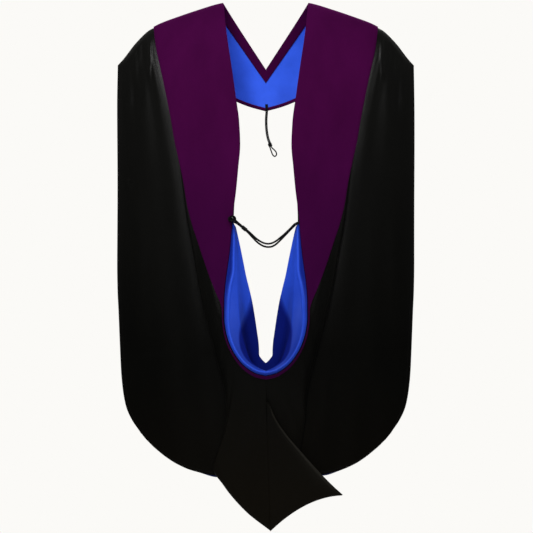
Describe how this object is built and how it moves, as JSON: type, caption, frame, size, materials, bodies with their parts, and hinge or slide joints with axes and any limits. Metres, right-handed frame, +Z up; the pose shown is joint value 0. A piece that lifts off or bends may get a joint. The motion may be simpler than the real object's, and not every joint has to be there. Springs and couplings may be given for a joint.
{
  "type": "academic hood",
  "caption": "Academic hood seen from the back: velvet bands, satin-lined cowl with a deep pouch, folded tail, lined cape, neck cord and ball button.",
  "frame": {"origin": "midway between the two shoulder peaks of the neckline, on the line where the hood rests on its wearer's shoulders", "axes": "+Z up along the hood's length, the back of the hood with cowl and tail faces -Y, the band across the chest is at +Y, +X to the right as the back is looked at"},
  "size_m": [0.6926, 0.2877, 1.229],
  "materials": {
    "velvet": "deep purple velvet, short dense pile",
    "black_cloth": "black plain-weave cloth with a dull sheen",
    "satin": "royal blue satin",
    "cord": "black braided cord",
    "button": "glossy black ball"
  },
  "bodies": {
    "root": {"back_velvet_left": "velvet", "back_velvet_right": "velvet", "front_velvet": "velvet", "cowl_shell_left": "black_cloth", "cowl_shell_right": "black_cloth", "tail_fold": "black_cloth", "cape_shell_left": "black_cloth", "cape_shell_right": "black_cloth", "cowl_lining_left": "satin", "cowl_lining_right": "satin", "cape_lining_left": "satin", "cape_lining_right": "satin", "front_lining": "satin", "back_cord": "cord", "back_cord_knot": "cord", "front_loop": "cord", "front_loop_knot": "cord", "ball_button": "button"}
  },
  "joints": []
}
